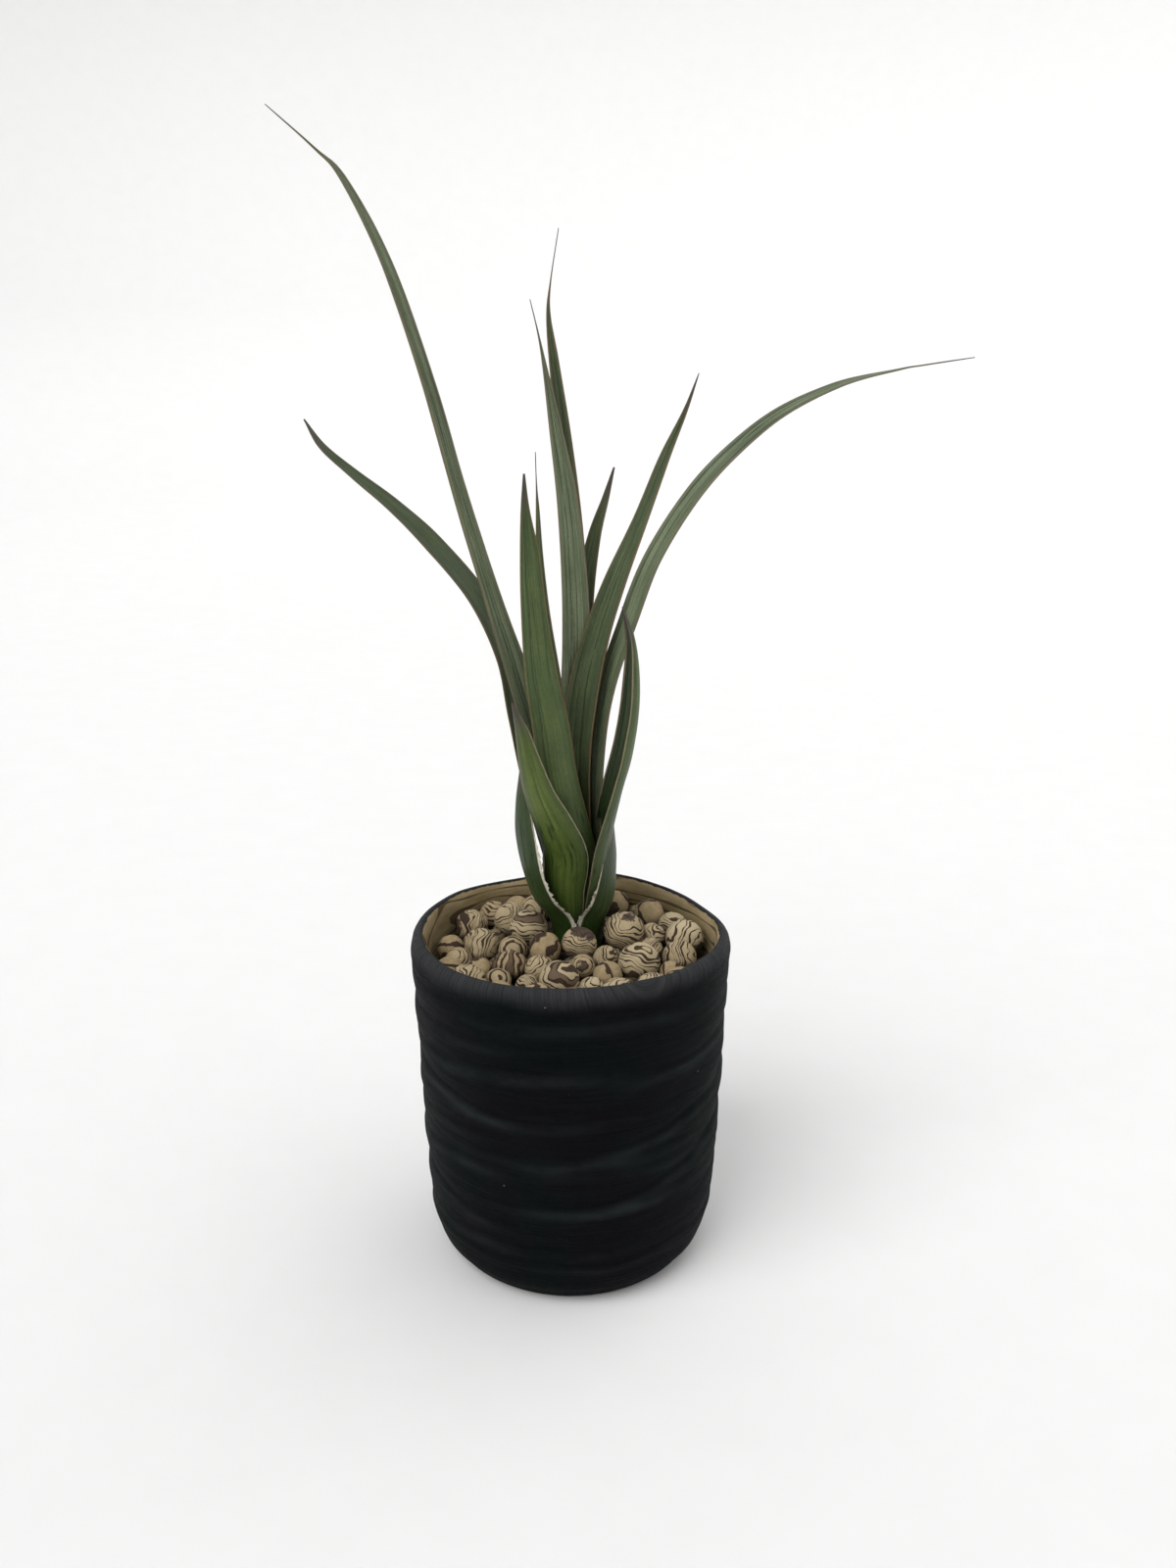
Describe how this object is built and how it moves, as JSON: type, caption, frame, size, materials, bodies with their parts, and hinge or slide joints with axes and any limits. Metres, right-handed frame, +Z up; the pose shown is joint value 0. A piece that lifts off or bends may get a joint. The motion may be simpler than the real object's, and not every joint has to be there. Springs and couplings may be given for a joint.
{
  "type": "potted snake plant",
  "caption": "Small snake plant with narrow arching grey-green leaves in a ridged black stoneware pot, the mix covered with marbled clay balls",
  "frame": {"origin": "centre of the pot's flat foot, on the surface it stands on", "axes": "+Z up; -Y is the side the picture shows; +X to its right"},
  "size_m": [0.1891, 0.0961, 0.3333],
  "materials": {
    "stoneware": "matte blue-black outside, unglazed marbled clay inside",
    "soil": "loose dark potting mix",
    "crown": "fleshy rhizome with dry scales",
    "leaf_old": "waxy green leaf with a tan margin",
    "leaf_mid": "waxy green leaf with a tan margin",
    "leaf_young": "waxy grey-green striped leaf",
    "clay": "unglazed marbled clay, matte"
  },
  "bodies": {
    "root": {"pot": "stoneware", "potting_mix": "soil", "crown": "crown", "leaf_right_sheath": "leaf_old", "leaf_left_sheath": "leaf_old", "leaf_arching_left": "leaf_old", "leaf_far_right": "leaf_old", "leaf_small_front_left": "leaf_mid", "leaf_small_right": "leaf_mid", "leaf_short_behind": "leaf_mid", "leaf_front_centre": "leaf_mid", "leaf_right_broad": "leaf_mid", "leaf_tall_behind": "leaf_young", "leaf_tall_left": "leaf_young", "leaf_centre_tall": "leaf_young", "leaf_thin_spike": "leaf_young", "clay_ball_01": "clay", "clay_ball_02": "clay", "clay_ball_03": "clay", "clay_ball_04": "clay", "clay_ball_05": "clay", "clay_ball_06": "clay", "clay_ball_07": "clay", "clay_ball_08": "clay", "clay_ball_09": "clay", "clay_ball_10": "clay", "clay_ball_11": "clay", "clay_ball_12": "clay", "clay_ball_13": "clay", "clay_ball_14": "clay", "clay_ball_15": "clay", "clay_ball_16": "clay", "clay_ball_17": "clay", "clay_ball_18": "clay", "clay_ball_19": "clay", "clay_ball_20": "clay", "clay_ball_21": "clay", "clay_ball_22": "clay", "clay_ball_23": "clay", "clay_ball_24": "clay", "clay_ball_25": "clay", "clay_ball_26": "clay", "clay_ball_27": "clay", "clay_ball_28": "clay", "clay_ball_29": "clay", "clay_ball_30": "clay", "clay_ball_31": "clay", "clay_ball_32": "clay", "clay_ball_33": "clay", "clay_ball_34": "clay", "clay_ball_35": "clay", "clay_ball_36": "clay", "clay_ball_37": "clay", "clay_ball_38": "clay", "clay_ball_39": "clay", "clay_ball_40": "clay", "clay_ball_41": "clay", "clay_ball_42": "clay", "clay_ball_43": "clay", "clay_ball_44": "clay"}
  },
  "joints": []
}
